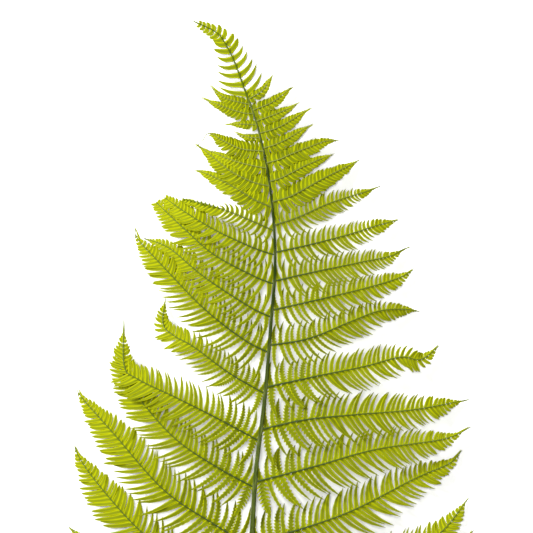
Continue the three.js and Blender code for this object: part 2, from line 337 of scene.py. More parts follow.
@dataclass
class Stalk:
    """The stipe, bare at the bottom, and the rachis that the pinnae stand on.

    Its centre passes the points of line, level as far as level_end and past it in an arch. It has a groove
    along its upper side and a swelling at each pinna, and it is as wide as the solid between flat sides.
    """

    line: tuple[Plan, ...] = (
        (-1, -28), (0, 0), (1, 28), (3, 110), (6, 220), (12, 317), (16, 380), (25, 455), (31, 528),
        (35, 582), (33, 636), (26, 688), (16, 729), (3.5, 764), (-7.5, 793), (-20, 815), (-32, 823),
        (-47, 830),
    )
    radius: float = 3.7
    tip_radius: float = 0.6
    solid_sides: int = 8
    level_end: float = 28
    tip: float = 830
    arch: float = 32
    arch_span: float = 870
    sides: int = 28
    ring_gap: float = 3.2
    groove_depth: float = 0.2
    groove_width: float = 0.42
    joint_swell: float = 0.09
    joint_length: float = 4.5
    cut_rings: int = 4
    joints: tuple[tuple[float, Side], ...] = ()
    plan: Spline = field(init=False)

    def __post_init__(self) -> None:
        """Fits the stalk's line."""
        self.plan = Spline(np.array([(x, y, 0) for x, y in self.line], float))

    @property
    def flat(self) -> float:
        """The share of the radius at which the solid's flat sides lie."""
        return math.cos(math.pi / self.solid_sides)

    def height(self, y: float) -> float:
        """How high the stalk's centre is at a y."""
        along = max(0.0, y - self.level_end) / self.arch_span
        return self.radius * self.flat + self.arch * math.sin(math.pi * along) ** 2

    def radius_at(self, y: float) -> float:
        """The stalk's radius at a y."""
        along = max(0.0, y - self.level_end) / (self.tip - self.level_end)
        return self.radius + (self.tip_radius - self.radius) * along

    def point(self, y: float) -> np.ndarray:
        """The stalk's centre at a y."""
        x = np.interp(y, self.plan.points[:, 1], self.plan.points[:, 0])
        return np.array([x, y, self.height(y)])

    def skin(self) -> tuple[list[np.ndarray], dict[str, list[float]]]:
        """Works out the points of the stalk's skin, ring by ring from the cut end.

        Returns:
            The points, and for the materials each one's place "along" in millimetres, its place "around" in
            turns from the top, and how much of a "joint" it is.
        """
        points, marks = [], {"along": [], "around": [], "joint": []}
        start, end = self.line[0][1], self.tip
        for y in np.linspace(start, end, int((end - start) / self.ring_gap)):
            front = min(y + 1, end)
            ahead = unit(self.point(front) - self.point(front - 1))
            if y <= self.level_end:
                ahead = unit(ahead * LEVEL)
            right = unit(np.cross(ahead, UP))
            above = np.cross(right, ahead)
            for turn in np.arange(self.sides) / self.sides:
                off_top = 2 * math.pi * min(turn, 1 - turn)
                up, aside = math.cos(2 * math.pi * turn), math.sin(2 * math.pi * turn)
                groove = self.groove_depth * math.exp(-(off_top / self.groove_width) ** 2)
                swell = sum(math.exp(-((y - at) / self.joint_length) ** 2) * max(0.0, side * aside)
                            for at, side in self.joints)
                reach = self.radius_at(y) * self.flat * (1 - groove + self.joint_swell * swell)
                points.append(self.point(y) + right * reach * aside + above * reach * up)
                for values, value in zip(marks.values(), (y, turn, min(swell, 1))):
                    values.append(value)
        return points, marks

    def build(self) -> bpy.types.Object:
        """Makes the stalk as one closed body, with the cut end in rings and a flat tip.

        Returns:
            The stalk, with the skin's marks as attributes.
        """
        points, marks = self.skin()
        ring = range(self.sides)
        after = [(j + 1) % self.sides for j in ring]
        last = len(points) - self.sides
        faces = [(i + j, i + after[j], i + self.sides + after[j], i + self.sides + j)
                 for i in range(0, last, self.sides) for j in ring]
        faces.append(tuple(last + j for j in ring))
        skin_faces = len(faces)
        centre, rim, outer = self.point(self.line[0][1]), points[:self.sides], list(ring)
        for step in range(1, self.cut_rings):
            share = 1 - step / self.cut_rings
            inner = [len(points) + j for j in ring]
            points += [centre + (point - centre) * share for point in rim]
            faces += [(outer[j], inner[j], inner[after[j]], outer[after[j]]) for j in ring]
            outer = inner
        faces.append(tuple(reversed(outer)))
        mesh = bpy.data.meshes.new("stalk")
        mesh.from_pydata([tuple(point * MM) for point in points], [], faces)
        mark(mesh, {name: values + [0.0] * (len(points) - len(values)) for name, values in marks.items()})
        for finish in (StalkSkin(), CutPith()):
            mesh.materials.append(finish.material())
        mesh.polygons.foreach_set("material_index", [int(i >= skin_faces) for i in range(len(faces))])
        mesh.polygons.foreach_set("use_smooth", [i < skin_faces for i in range(len(faces))])
        mesh.update()
        return placed(mesh)


@dataclass(frozen=True)
class Leaflet:
    """One leaflet: its root, the way it points, the way it faces, its length and width, its form and hand.

    Its hand is 1 where it stands on the left of its rib and -1 on the right, and share is how far along the
    rib it stands, which its colour follows.
    """

    root: np.ndarray
    ray: np.ndarray
    face: np.ndarray
    length: float
    width: float
    form: Form
    hand: int
    share: float


def pose(along: np.ndarray, left: np.ndarray, out: np.ndarray, hand: int, lean: float,
         hang: float) -> tuple[np.ndarray, np.ndarray]:
    """Works out how a leaflet lies.

    Args:
        along: the direction of its rib.
        left: the direction to the rib's left.
        out: the direction out of the rib's face.
        hand: the leaflet's hand.
        lean: the angle between it and its rib, in radians.
        hang: how far it hangs, in radians.

    Returns:
        The way it points and the way it faces.
    """
    outward = left * hand * math.cos(hang) - out * math.sin(hang)
    return along * math.cos(lean) + outward * math.sin(lean), np.cross(along, outward) * hand


@dataclass
class Pinna:
    """One side branch: its rib's curve, and where its leaflets stand and how they lie.

    Angles are in degrees. rise is how steeply the rib leaves the stalk, and roll is how far its side away
    from the frond's tip is raised. Leaflets lean by lean_upper on the frond tip's side and by lean_lower on
    the other, with up to fan added near the stalk. A wing is the narrow blade at a rib's own tip.
    """

    course: Course
    side: Side
    stalk: Stalk
    rise: float = 0.1
    roll: float = 11
    droop: float = 7
    lean_upper: float = 57
    lean_lower: float = 51
    fan: float = 31
    fan_share: float = 0.17
    first_lean: float = 16
    reach_base: float = 1
    reach_share: float = 0.153
    upper_share: float = 0.86
    lower_share: float = 1.08
    least_taper: float = 1.8
    full_taper: float = 3
    full_taper_length: float = 150
    pitch_base: float = 3.7
    pitch_share: float = 0.01
    crowding: float = 0.22
    bare_length: float = 0.5
    last_cell: float = 0.985
    lobed_below: float = 400
    toothed_below: float = 480
    wavy_below: float = 560
    blunt_above: float = 635
    blunt_past_left: float = 0.58
    blunt_past_right: float = 0.76
    lobed_width: float = 2
    first_width: float = 1.5
    toothed: tuple[int, ...] = (2, 3, 5)
    toothed_width: float = 1.25
    wavy_count: int = 9
    fuller: float = 0.32
    fuller_over: float = 100
    folded_from: float = 0.66
    fold_power: int = 6
    longest_point: float = 15
    wing: float = 11
    wing_past: float = 3
    wing_width: float = 3.4
    curve: Spline = field(init=False)

    def __post_init__(self) -> None:
        """Fits the rib's curve, which rises from the stalk and comes down to the tip's height."""
        start = self.stalk.point(self.course.leaves)
        flat = np.array([start[:2], *self.course.through])
        reached = np.concatenate([[0], np.cumsum(np.linalg.norm(np.diff(flat, axis=0), axis=1))])
        shares = reached / reached[-1]
        lift = self.rise * reached[-1]
        heights = start[2] + lift * shares - (start[2] + lift - self.course.tip) * shares ** 2
        self.curve = Spline(np.column_stack([flat, heights]))

    @property
    def end(self) -> float:
        """Share of the rib's length where the leaflets taper out."""
        return 1 - self.course.tail / self.curve.length

    @property
    def last(self) -> float:
        """Share of the rib's length where the last leaflets' cell ends."""
        return min(self.end, self.last_cell)

    def frame_at(self, share: float) -> tuple[np.ndarray, np.ndarray, np.ndarray]:
        """The rib's directions at a share of its length: along it, to its left and out of its face."""
        along = self.curve.along(share)
        left = turned(unit(np.cross(UP, along)), along, -math.radians(self.roll) * self.side)
        return along, left, np.cross(along, left)

    def reach(self, share: float) -> float:
        """Length of the leaflets at a share of the rib's length."""
        long = min(1, self.curve.length / self.full_taper_length)
        power = self.least_taper + (self.full_taper - self.least_taper) * long
        return (self.reach_base + self.reach_share * self.curve.length) * (1 - (share / self.end) ** power)

    def cells(self) -> np.ndarray:
        """Shares of the rib's length between which leaflets stand."""
        length = self.curve.length
        count = round(length / (self.pitch_base + self.pitch_share * length))
        bare = (self.stalk.radius_at(self.course.leaves) + self.bare_length) / length
        return crowded(bare, self.last, count, self.crowding)

    def form(self, number: int, share: float, upper: bool) -> tuple[Form, float]:
        """Picks a leaflet's form by its place.

        Args:
            number: how many leaflets stand between it and the stalk.
            share: the share of the rib's length that does.
            upper: whether it is on the frond tip's side.

        Returns:
            The form and how many times as wide as its cell it is.
        """
        leaves = self.course.leaves
        if leaves < self.toothed_below and number == 0 and not upper:
            if leaves < self.lobed_below:
                return Form.LOBED, self.lobed_width
            return Form.TOOTHED, self.first_width
        if leaves < self.toothed_below and number in self.toothed:
            return Form.TOOTHED, self.toothed_width
        if leaves < self.wavy_below and number < self.wavy_count:
            return Form.WAVY, 1.0
        blunt_past = self.blunt_past_left if self.side is Side.LEFT else self.blunt_past_right
        if leaves < self.blunt_above and share < blunt_past:
            return Form.SLENDER, 1.0
        return Form.BLUNT, 1 + self.fuller * min(1, max(0, leaves - self.wavy_below) / self.fuller_over)

    def leaflets(self) -> list[Leaflet]:
        """Works out where each leaflet stands and how it lies."""
        found = []
        cells = self.cells()
        for number, (start, end) in enumerate(zip(cells, cells[1:])):
            share = (start + end) / 2
            cell = (end - start) * self.curve.length
            limp = math.radians(self.droop + self.course.limp * share ** 2)
            fold = math.radians(self.course.fold) * min(1, (share / self.folded_from) ** self.fold_power)
            root, rib = self.curve.at(share), self.frame_at(share)
            for hand in (1, -1):
                upper = hand == self.side
                lean = self.lean_upper if upper else self.lean_lower
                if number == 0 and not upper:
                    lean += self.first_lean
                lean = math.radians(lean + self.fan * math.exp(-share / self.fan_share))
                ray, face = pose(*rib, hand, lean, limp + fold if upper else limp)
                length = self.reach(share) * (self.upper_share if upper else self.lower_share)
                form, width = self.form(number, share, upper)
                found.append(Leaflet(root, ray, face, length, width * cell, form, hand, share))
        return [*found, self.point()]

    def point(self) -> Leaflet:
        """The wing at the rib's tip, as far as a short bare tip's end or just past the last leaflets."""
        root = self.curve.at(max(0.0, self.last - self.wing / self.curve.length))
        bare = (1 - self.last) * self.curve.length
        past = bare if bare < self.longest_point else self.wing_past
        reach = self.curve.at(self.last + past / self.curve.length) - root
        length, face = float(np.linalg.norm(reach)), self.frame_at(self.last)[2]
        return Leaflet(root, unit(reach), face, length, self.wing_width, Form.STRAIGHT, 1, 1)


@dataclass
class FrondTip:
    """The frond's tip, where simple leaflets stand on the rachis itself, from the y at which it begins."""

    stalk: Stalk
    begins: float = 741
    sections: int = 7
    pairs: int = 13
    bare: float = 0.1
    end: float = 0.95
    reach: float = 31
    last_reach: float = 3
    taper_power: float = 1.12
    lean: float = 58
    droop: float = 7
    crowding: float = 0.5
    slender_until: float = 0.5
    width: float = 0.6
    fuller: float = 0.45
    point_width: float = 2
    fresh: float = 0.3
    fresher: float = 0.4

    def leaflets(self) -> list[Leaflet]:
        """Works out where each leaflet stands and how it lies."""
        ys = np.linspace(self.begins, self.stalk.tip, self.sections)
        curve = Spline(np.array([self.stalk.point(y) for y in ys]))
        cells = crowded(self.bare, self.end, self.pairs, self.crowding)
        lean, hang = math.radians(self.lean), math.radians(self.droop)
        found = []
        for start, end in zip(cells, cells[1:]):
            share = (start + end) / 2
            along = curve.along(share)
            left = unit(np.cross(UP, along))
            length = self.last_reach + self.reach * (1 - share) ** self.taper_power
            width = (self.width + self.fuller * share) * (end - start) * curve.length
            form = Form.SLENDER if share < self.slender_until else Form.BLUNT
            tone = self.fresh + self.fresher * share
            for hand in (1, -1):
                ray, face = pose(along, left, np.cross(along, left), hand, lean, hang)
                found.append(Leaflet(curve.at(share), ray, face, length, width, form, hand, tone))
        rest = (1 - self.end) * curve.length
        root, ray = curve.at(self.end), curve.along(self.end)
        return [*found, Leaflet(root, ray, UP, rest, self.point_width, Form.STRAIGHT, 1, 1)]


# A lobe's outline, as places along the lobe and shares of the leaflet's width there.
FINGER = ((0.2, 0.8), (0.45, 1.0), (0.62, 0.96), (0.78, 0.62))


@dataclass(frozen=True)
class Margin:
    """The outline of one form of leaflet, as shares of its length and half its width.

    body is half its width past the flared root, waist and point shape its taper, and bend is how far it bows
    away from the tip of its pinna. teeth is how many stand on a side between its ends, notch is the share of
    the width left between them, tooth holds the places (along the tooth, share of the width) that each one's
    outline passes, and lean is how far they point forward. Cross-sections lie at plain on a leaflet without
    teeth, and at root on one that has them.
    """

    body: float
    waist: float
    point: float
    bend: float
    teeth: int = 0
    notch: float = 1
    tooth: tuple[Plan, ...] = ((0.6, 1.0),)
    lean: float = 0
    flare: float = 0.36
    flare_length: float = 0.09
    ends: Range = (0.06, 0.96)
    closing: int = 3
    plain: tuple[float, ...] = (-0.03, 0.04, 0.12, 0.36, 0.62, 0.82, 0.94)
    root: tuple[float, ...] = (-0.03, 0.03)

    def half_width(self, share: float) -> float:
        """Half the leaflet's width at a share of its length, without teeth."""
        share = max(share, 0)
        flare = self.flare * math.exp(-share / self.flare_length)
        return self.body * (1 - share ** self.waist) ** self.point + flare

    def stations(self) -> list[Plan]:
        """The leaflet's cross-sections: the place of each along the leaflet and half its width there."""
        found = [(u, self.half_width(u)) for u in (self.root if self.teeth else self.plain)]
        first, last = self.ends
        for number in range(self.teeth):
            pitch = (last - first) / self.teeth
            notch = first + number * pitch
            depth = self.notch + (1 - self.notch) * notch ** self.closing
            found.append((notch, self.half_width(notch) * depth))
            found += [(notch + along * pitch, self.half_width(notch + along * pitch) * share)
                      for along, share in self.tooth]
        return found


@dataclass
class LeafletShapes:
    """The meshes that leaflets are copies of, a left and a right one of each form.

    They lie along X at a length of one, with half the width as one in Y and the width as one in Z.
    """

    margins: dict[Form, Margin] = field(default_factory=lambda: {
        Form.SLENDER: Margin(body=0.73, waist=2.3, point=0.9, bend=0.7),
        Form.BLUNT: Margin(body=0.84, waist=4.2, point=0.62, bend=0.45),
        Form.WAVY: Margin(body=0.78, waist=2.2, point=0.9, bend=0.65, teeth=7, notch=0.74, lean=0.02),
        Form.TOOTHED: Margin(body=0.94, waist=2, point=0.9, bend=0.55, teeth=9, notch=0.46, lean=0.04),
        Form.LOBED: Margin(body=1.1, waist=1.8, point=0.85, bend=0.2, teeth=9, notch=0.22, tooth=FINGER,
                           lean=0.1, flare=-0.3, flare_length=0.25),
        Form.STRAIGHT: Margin(body=0.9, waist=1.3, point=0.8, bend=0, flare=0),
    })
    crest_at: float = 0.76
    arch: float = 0.12
    groove: float = 0.2
    curl: float = 0.1
    thickness: float = 0.07

    def rise(self, u: float, v: float) -> float:
        """Height of the upper face at a place: a groove, a crest beside it and a margin curled down."""
        lift = self.arch * math.sin(math.pi * min(max(u, 0), 1))
        across = abs(v)
        if across < self.crest_at:
            return lift - self.groove * (1 - across / self.crest_at)
        return lift - self.curl * (across - self.crest_at) / (1 - self.crest_at)

    def build(self, form: Form, hand: int) -> bpy.types.Object:
        """Makes one leaflet as a thin closed body.

        Args:
            form: its form.
            hand: 1 if the pinna's tip is on its right as it is seen from its root, and -1 if on its left.

        Returns:
            The leaflet's object, with a UV map of its place along and across.
        """
        margin = self.margins[form]
        points, places, top, bottom = [], [], [], []

        def add(u: float, v: float, half: float, drop: float) -> int:
            """Adds a point at a place along and across and returns its number."""
            bow = margin.bend * math.sin(math.pi * min(max(u, 0), 1)) * hand
            points.append((u + margin.lean * abs(v) * half, bow + v * half, self.rise(u, v) - drop))
            places.append((max(u, 0), abs(v)))
            return len(points) - 1

        for u, half in margin.stations():
            row = [add(u, v, half, 0) for v in (-1, -self.crest_at, 0, self.crest_at, 1)]
            top.append(row)
            bottom.append([row[0], add(u, 0, half, self.thickness), row[-1]])
        # The tip is level with the curled margin, and each face turns into it in a fan.
        end = add(1.0, 0, 0, self.curl - self.groove)
        faces, under = [], []
        for rows, way, below in ((top, -1, 0.0), (bottom, 1, 1.0)):
            for near, far in zip(rows, [*rows[1:], None]):
                for i in range(len(near) - 1):
                    beyond = (far[i + 1], far[i]) if far else (end,)
                    faces.append((near[i], near[i + 1], *beyond)[::way])
                    under.append(below)
        faces.append((*top[0], bottom[0][1]))
        under.append(1.0)
        mesh = bpy.data.meshes.new(f"shape_{form.shape(hand):02d}")
        mesh.from_pydata(points, [], faces)
        mesh.flip_normals()
        uv = mesh.uv_layers.new(name="leaf")
        for loop in mesh.loops:
            uv.data[loop.index].uv = places[loop.vertex_index]
        mark(mesh, {"under": under}, domain="FACE")
        return bpy.data.objects.new(mesh.name, mesh)

    def collection(self) -> bpy.types.Collection:
        """Makes all the shapes, in the order of their forms, with the right-handed one of each last."""
        found = bpy.data.collections.new("leaflet_shapes")
        for form in Form:
            for hand in (-1, 1):
                found.objects.link(self.build(form, hand))
        return found


@dataclass
class Leaflets:
    """All the leaflets of one part of the frond, as copies of a few shapes on the ribs.

    turn, pitch and twist are the most that one turns at random in its face, up or down and about itself, in
    degrees, and spread is the share by which its size varies.
    """

    name: str
    leaflets: list[Leaflet]
    seed: int
    turn: float = 6
    pitch: float = 3
    twist: float = 11
    spread: float = 0.09
    deepest: float = 6
    soft_floor: float = 1

    def host(self) -> bpy.types.Mesh:
        """The leaflets' roots, with how each one lies as attributes."""
        mesh = bpy.data.meshes.new(f"{self.name}_roots")
        mesh.from_pydata([tuple(leaf.root * MM) for leaf in self.leaflets], [], [])
        mark(mesh, {
            "ray": [leaf.ray for leaf in self.leaflets],
            "face": [leaf.face for leaf in self.leaflets],
            "size": [(leaf.length * MM, leaf.width / 2 * MM, min(leaf.width, self.deepest) * MM)
                     for leaf in self.leaflets],
        }, "FLOAT_VECTOR")
        mark(mesh, {"shape": [leaf.form.shape(leaf.hand) for leaf in self.leaflets]}, "INT")
        mark(mesh, {"share": [leaf.share for leaf in self.leaflets],
                    "long": [leaf.length for leaf in self.leaflets]})
        return mesh

    def build(self, tree: bpy.types.NodeTree, shapes: bpy.types.Collection,
              material: bpy.types.Material) -> bpy.types.Object:
        """Sets the leaflets on their roots.

        Args:
            tree: geometry nodes that put a shape on each root.
            shapes: the collection that they are copies of.
            material: their finish.

        Returns:
            The leaflets as one plain mesh.
        """
        mesh = grown(self.host(), tree, {
            "Shapes": shapes,
            "Jitter": [math.radians(self.twist), math.radians(self.pitch), math.radians(self.turn)],
            "Spread": self.spread,
            "Soft floor": self.soft_floor * MM,
            "Seed": self.seed,
            "Finish": material,
        })
        mesh.name = self.name
        return placed(mesh)


def leaflet_tree() -> bpy.types.NodeTree:
    """Makes the geometry nodes that put a leaflet's shape on each root, turned, sized and off the floor."""
    tree, add, given = new_tree("leaflets_on_ribs", {
        "Shapes": "Collection", "Jitter": "Vector", "Spread": "Float", "Soft floor": "Float", "Seed": "Int",
        "Finish": "Material"})
    shapes = add("GeometryNodeCollectionInfo", {
        "Collection": given["Shapes"], "Separate Children": True, "Reset Children": True})
    ray, face, size, shape = (
        add("GeometryNodeInputNamedAttribute", {"Name": name}, data_type=kind)
        for name, kind in (("ray", "FLOAT_VECTOR"), ("face", "FLOAT_VECTOR"), ("size", "FLOAT_VECTOR"),
                           ("shape", "INT")))
    straight = add("FunctionNodeAxesToRotation", {"Primary Axis": ray, "Secondary Axis": face},
                   primary_axis="X", secondary_axis="Z")
    less = add("ShaderNodeVectorMath", (given["Jitter"], -1.0), operation="SCALE")
    turn = add("FunctionNodeRandomValue", {0: less, 1: given["Jitter"], "Seed": given["Seed"]},
               data_type="FLOAT_VECTOR")
    spin = add("FunctionNodeEulerToRotation", (turn,))
    lie = add("FunctionNodeRotateRotation", (straight, spin), rotation_space="LOCAL")
    small = add("ShaderNodeMath", (1.0, given["Spread"]), operation="SUBTRACT")
    large = add("ShaderNodeMath", (1.0, given["Spread"]), operation="ADD")
    share = add("FunctionNodeRandomValue", {0: small, 1: large, "Seed": given["Seed"]},
                data_type="FLOAT_VECTOR")
    scale = add("ShaderNodeVectorMath", (size, share), operation="MULTIPLY")
    tone = add("FunctionNodeRandomValue", {"Seed": given["Seed"]}, data_type="FLOAT")
    toned = add("GeometryNodeStoreNamedAttribute", {
        "Geometry": given["Geometry"], "Name": "tone", "Value": tone}, data_type="FLOAT", domain="POINT")
    copies = add("GeometryNodeInstanceOnPoints", {
        "Points": toned, "Instance": shapes, "Pick Instance": True, "Instance Index": shape, "Rotation": lie,
        "Scale": scale})
    real = add("GeometryNodeRealizeInstances", (copies,))
    # A height z becomes half of z and the root of z squared plus soft floor squared, never below nothing.
    x, y, z = add("ShaderNodeSeparateXYZ", (add("GeometryNodeInputPosition"),)).outputs
    square = add("ShaderNodeMath", (given["Soft floor"], 2.0), operation="POWER")
    squares = add("ShaderNodeMath", (z, z, square), operation="MULTIPLY_ADD")
    root = add("ShaderNodeMath", (squares,), operation="SQRT")
    both = add("ShaderNodeMath", (root, z), operation="ADD")
    half = add("ShaderNodeMath", (both, 0.5), operation="MULTIPLY")
    above = add("ShaderNodeCombineXYZ", (x, y, half))
    held = add("GeometryNodeSetPosition", {"Geometry": real, "Position": above})
    smooth = add("GeometryNodeSetShadeSmooth", (held,))
    done = add("GeometryNodeSetMaterial", {"Geometry": smooth, "Material": given["Finish"]})
    add("NodeGroupOutput", (done,))
    return tree


@dataclass
class Ribs:
    """The ribs of the pinnae, grooved above and thinning to their tips.

    Ribs shorter than full_length are thinner, and those that leave the stalk past pale_from are paler.
    """

    pinnae: list[Pinna]
    radius: float = 0.86
    end_share: float = 0.56
    least_share: float = 0.58
    point_share: float = 0.3
    full_length: float = 160
    step: float = 3
    least_steps: int = 6
    sides: int = 8
    groove: float = 0.5
    crown: float = 0.9
    lift: float = 0.35
    pale_from: float = 600
    pale_over: float = 80

    def host(self) -> bpy.types.Mesh:
        """The ribs' centre lines, with the radius, share of length behind and paleness as attributes."""
        points, edges, marks = [], [], {"thick": [], "share": [], "pale": []}
        for pinna in self.pinnae:
            length = pinna.curve.length
            scale = self.least_share + (1 - self.least_share) * min(1, length / self.full_length)
            pale = min(1, max(0, pinna.course.leaves - self.pale_from) / self.pale_over)
            count = max(self.least_steps, round(length / self.step))
            for number in range(count + 1):
                share = number / count
                if number:
                    edges.append((len(points) - 1, len(points)))
                points.append(tuple((pinna.curve.at(share) + UP * self.lift * scale) * MM))
                thick = self.radius * scale * (1 - (1 - self.end_share) * share)
                if number == count:
                    thick *= self.point_share
                for values, value in zip(marks.values(), (thick * MM, share, pale)):
                    values.append(value)
        mesh = bpy.data.meshes.new("rib_lines")
        mesh.from_pydata(points, edges, [])
        mark(mesh, marks)
        return mesh

    def tree(self) -> bpy.types.NodeTree:
        """Makes the geometry nodes that give the lines their round, grooved section."""
        tree, add, given = new_tree("ribs_on_lines", {
            "Sides": "Int", "Groove": "Float", "Finish": "Material"})
        line = add("GeometryNodeMeshToCurve", (given["Geometry"],))
        upright = add("GeometryNodeSetCurveNormal", {"Curve": line}, mode="Z_UP")
        thick = add("GeometryNodeInputNamedAttribute", {"Name": "thick"}, data_type="FLOAT")
        sized = add("GeometryNodeSetCurveRadius", {"Curve": upright, "Radius": thick})
        ring = add("GeometryNodeCurvePrimitiveCircle", {"Resolution": given["Sides"], "Radius": 1.0},
                   mode="RADIUS")
        # The section's X is upwards on the rib, and only its topmost point is past crown.
        x, _, _ = add("ShaderNodeSeparateXYZ", (add("GeometryNodeInputPosition"),)).outputs
        top = add("ShaderNodeMath", (x, self.crown), operation="GREATER_THAN")
        deep = add("ShaderNodeMath", (given["Groove"], -1.0), operation="MULTIPLY")
        down = add("ShaderNodeCombineXYZ", (deep,))
        grooved = add("GeometryNodeSetPosition", {"Geometry": ring, "Selection": top, "Offset": down})
        skin = add("GeometryNodeCurveToMesh", {
            "Curve": sized, "Profile Curve": grooved, "Scale": thick, "Fill Caps": True})
        smooth = add("GeometryNodeSetShadeSmooth", (skin,))
        real = add("GeometryNodeRealizeInstances", (smooth,))
        done = add("GeometryNodeSetMaterial", {"Geometry": real, "Material": given["Finish"]})
        add("NodeGroupOutput", (done,))
        return tree

    def build(self) -> bpy.types.Object:
        """Makes the ribs as one plain mesh."""
        mesh = grown(self.host(), self.tree(), {
            "Sides": self.sides, "Groove": self.groove, "Finish": RibSkin().material()})
        mesh.name = "ribs"
        return placed(mesh)


@dataclass(frozen=True)
class Finish:
    """What all finishes share.

    They have a name, how rough the surface is, how strongly it mirrors, and how strong and deep its relief.
    """

    name: str = "plain"
    roughness: float = 0.5
    shine: float = 0.5
    relief: float = 0
    relief_mm: float = 0

    def pattern(self, add: Adder) -> dict:
        """Draws the finish's pattern.

        Args:
            add: adds a node to the material.

        Returns:
            What the shader's inputs are fed with where they aren't even, and "Height" where there is relief.
        """
        raise NotImplementedError

    def material(self) -> bpy.types.Material:
        """Makes the finish's material.

        Returns:
            The material.
        """
        made = bpy.data.materials.new(self.name)
        made.use_nodes = True
        add = partial(add_node, made.node_tree)
        inputs = {"Roughness": self.roughness, "Specular IOR Level": self.shine, **self.pattern(add)}
        if "Height" in inputs:
            inputs["Normal"] = add("ShaderNodeBump", {
                "Strength": self.relief, "Distance": self.relief_mm * MM, "Height": inputs.pop("Height")})
        feed(made.node_tree.nodes["Principled BSDF"], inputs)
        return made


def layered(add: Adder, first: str, *layers: tuple) -> bpy.types.Node:
    """Lays colours over each other.

    Args:
        add: adds a node to the material.
        first: the lowest colour.
        layers: upwards from there, how much of each colour covers what is under it, and the colour.

    Returns:
        The node that gives the whole.
    """
    colour = linear_colour(first)
    for cover, code in layers:
        colour = add("ShaderNodeMix", (cover, colour, linear_colour(code)), data_type="RGBA")
    return colour


@dataclass(frozen=True)
class LeafBlade(Finish):
    """Living bracken leaf: thin and yellow-green, satin above, duller and paler beneath.

    To the eye it is a bright green crossed by fine forked veins. Along the rolled margin a brighter yellow is
    a painted highlight, and the duller olive along the midrib is partly the centre's own colour and partly
    painted shade in the groove. A range says where a colour starts and is full, across the leaflet or along
    its rib, and a share how much it covers.
    """

    name: str = "fern_leaf"
    roughness: float = 0.5
    shine: float = 0.02
    light: str = "#6a7602"
    deep: str = "#3a4800"
    fresh: str = "#8c940a"
    # rim is a painted highlight: a brighter yellow along the rolled margin.
    rim: str = "#a4a606"
    # The midrib colour is partly the duller olive of the leaflet's centre and partly painted shade in its
    # groove.
    midrib_and_shade: str = "#646812"
    vein: str = "#7c8206"
    under: str = "#4c5a0a"
    mottle_mm: float = 9
    speck_mm: float = 0.9
    tone_share: float = 0.3
    light_range: Range = (0.35, 0.9)
    fresh_range: Range = (0.25, 0.95)
    fresh_share: float = 0.78
    vein_mm: float = 1.1
    vein_slant: float = 1.6
    vein_width: float = 0.16
    vein_share: float = 0.35
    midrib_and_shade_range: Range = (0.05, 0.42)
    midrib_and_shade_share: float = 0.75
    rim_highlight_range: Range = (0.5, 0.85)
    rim_highlight_share: float = 0.85
    under_share: float = 0.8
    smoother: float = 0.08
    rougher: float = 0.14
    vein_relief: float = 0.5
    relief: float = 0.35
    relief_mm: float = 0.25

    def pattern(self, add: Adder) -> dict:
        """Draws the leaf's colours, veins and relief.

        Args:
            add: adds a node to the material.

        Returns:
            What the shader's inputs are fed with.
        """
        spot = add("ShaderNodeTexCoord").outputs["Object"]
        along, across, _ = add("ShaderNodeSeparateXYZ", (add("ShaderNodeUVMap", uv_map="leaf"),)).outputs
        tone, under, share, long = (add("ShaderNodeAttribute", attribute_name=name).outputs["Fac"]
                                    for name in ("tone", "under", "share", "long"))
        mottle, speck = (
            add("ShaderNodeTexNoise", {"Vector": spot, "Scale": 1 / (size * MM), "Detail": detail})
            for size, detail in ((self.mottle_mm, 3.0), (self.speck_mm, 2.0)))
        uneven = add("ShaderNodeMath", (tone, self.tone_share, mottle), operation="MULTIPLY_ADD")
        light = add("ShaderNodeMapRange", (uneven, *self.light_range))
        fresh = add("ShaderNodeMapRange", (share, *self.fresh_range, 0.0, self.fresh_share))
        reached = add("ShaderNodeMath", (along, long), operation="MULTIPLY")
        slanted = add("ShaderNodeMath", (across, -self.vein_slant, reached), operation="MULTIPLY_ADD")
        phase = add("ShaderNodeMath", (slanted, 1 / self.vein_mm), operation="MULTIPLY")
        wave = add("ShaderNodeMath", (phase, 0.5), operation="PINGPONG")
        line = add("ShaderNodeMapRange", (wave, 0.0, self.vein_width, 1.0, 0.0))
        vein = add("ShaderNodeMath", (line, self.vein_share), operation="MULTIPLY")
        # Partly the centre's own colour and partly painted shade: darker olive along the groove, fading
        # towards the crests.
        midrib_and_shade = add("ShaderNodeMapRange", (across, *self.midrib_and_shade_range, self.midrib_and_shade_share, 0.0))
        # Painted highlight: the rim colour covers the margin, stronger towards the edge.
        rim = add("ShaderNodeMapRange", (across, *self.rim_highlight_range, 0.0, self.rim_highlight_share))
        dull = add("ShaderNodeMath", (under, self.under_share), operation="MULTIPLY")
        least, most = self.roughness - self.smoother, self.roughness + self.rougher
        return {
            "Base Color": layered(
                add, self.deep, (light, self.light), (fresh, self.fresh), (vein, self.vein),
                (midrib_and_shade, self.midrib_and_shade), (rim, self.rim), (dull, self.under)),
            "Roughness": add("ShaderNodeMapRange", {"Value": speck, "To Min": least, "To Max": most}),
            "Height": add("ShaderNodeMath", (line, self.vein_relief, speck), operation="MULTIPLY_ADD"),
        }


